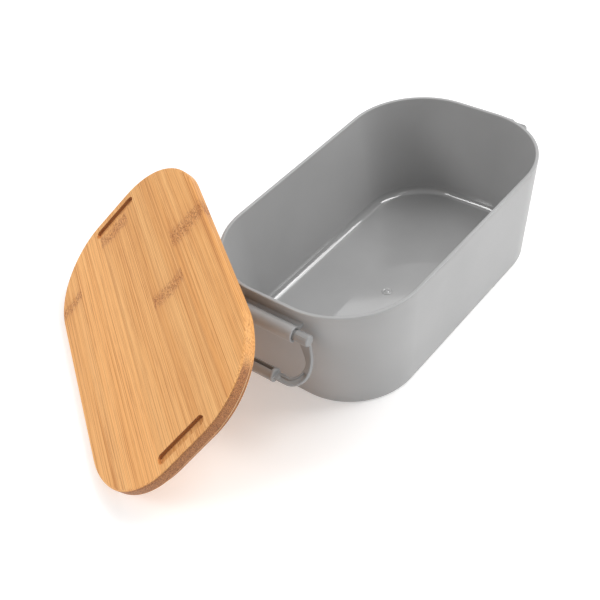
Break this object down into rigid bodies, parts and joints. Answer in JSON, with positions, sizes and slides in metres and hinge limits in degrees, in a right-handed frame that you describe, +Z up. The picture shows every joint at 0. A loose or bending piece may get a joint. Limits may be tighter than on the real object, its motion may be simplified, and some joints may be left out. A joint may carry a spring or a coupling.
{
  "type": "bento lunch box",
  "caption": "Rounded plastic lunch tub with a loose bamboo lid that leans on its corner, and a swinging loop latch on each end that closes over the lid.",
  "frame": {"origin": "middle of the tub's flat base, on the surface it stands on", "axes": "+X along the tub towards the right latch, +Y across it towards the lid's far side, +Z up"},
  "size_m": [0.3113, 0.2094, 0.0768],
  "materials": {
    "tub_plastic": "satin",
    "latch_plastic": "satin",
    "bamboo": "oiled, satin",
    "silicone": "matte"
  },
  "bodies": {
    "tub": {"tub": "tub_plastic"},
    "left_latch": {"left_latch": "latch_plastic"},
    "right_latch": {"right_latch": "latch_plastic"},
    "lid": {"lid_strip_1": "bamboo", "lid_strip_2": "bamboo", "lid_strip_3": "bamboo", "lid_strip_4": "bamboo", "lid_strip_5": "bamboo", "lid_gasket": "silicone"}
  },
  "joints": [
    {"name": "lid_lift", "type": "slide", "parent": "tub", "child": "lid", "axis": [0, 0, 1], "range_m": [0, 0.12]},
    {"name": "left_latch_swing", "type": "hinge", "parent": "tub", "child": "left_latch", "pos_m": [-0.1, 0, 0.0554], "axis": [0, 1, 0], "range_deg": [0, 176]},
    {"name": "right_latch_swing", "type": "hinge", "parent": "tub", "child": "right_latch", "pos_m": [0.1, 0, 0.0554], "axis": [0, -1, 0], "range_deg": [-39, 176]}
  ],
  "couplings": [
    {"joint": "left_latch_swing", "follows": "lid_lift", "rad_per_m": 25.59}
  ]
}
